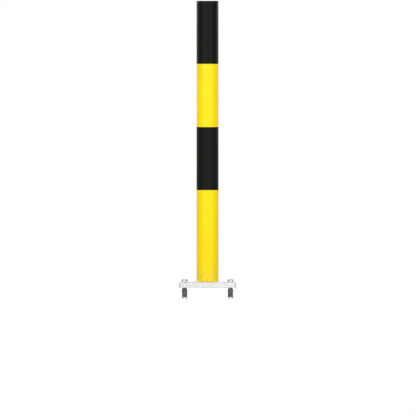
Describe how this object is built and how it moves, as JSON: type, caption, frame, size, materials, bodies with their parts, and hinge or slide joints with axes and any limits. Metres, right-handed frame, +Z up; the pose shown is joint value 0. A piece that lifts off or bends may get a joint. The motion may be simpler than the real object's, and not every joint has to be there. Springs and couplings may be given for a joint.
{
  "type": "steel safety bollard",
  "caption": "Straight round steel bollard, yellow with black bands, on a square base plate held down by bolts in expanding shield anchors.",
  "frame": {"origin": "on the ground, at the centre of the base plate's underside", "axes": "+Z up along the post, +X and +Y square to the base plate's sides, -Y the front; the films lap at +Y"},
  "size_m": [0.2, 0.2, 1.038],
  "materials": {
    "yellow_coating": "smooth semi-gloss powder coating, traffic yellow",
    "galvanised_steel": "bright hot-dip galvanised, faint spangle",
    "black_plastic": "moulded, fine satin grain",
    "black_film": "semi-gloss self-adhesive film",
    "zinc_plate": "bright zinc plating",
    "dark_zinc": "dark phosphated zinc"
  },
  "bodies": {
    "root": {"post_tube": "yellow_coating", "foot_weld": "yellow_coating", "base_plate": "galvanised_steel", "top_cap": "black_plastic", "upper_black_band": "black_film", "lower_black_band": "black_film", "anchor_bolts": "zinc_plate", "anchor_washers": "zinc_plate", "shield_ferrules": "dark_zinc", "shield_segments": "dark_zinc", "shield_rings": "dark_zinc", "expander_nuts": "zinc_plate"}
  },
  "joints": []
}
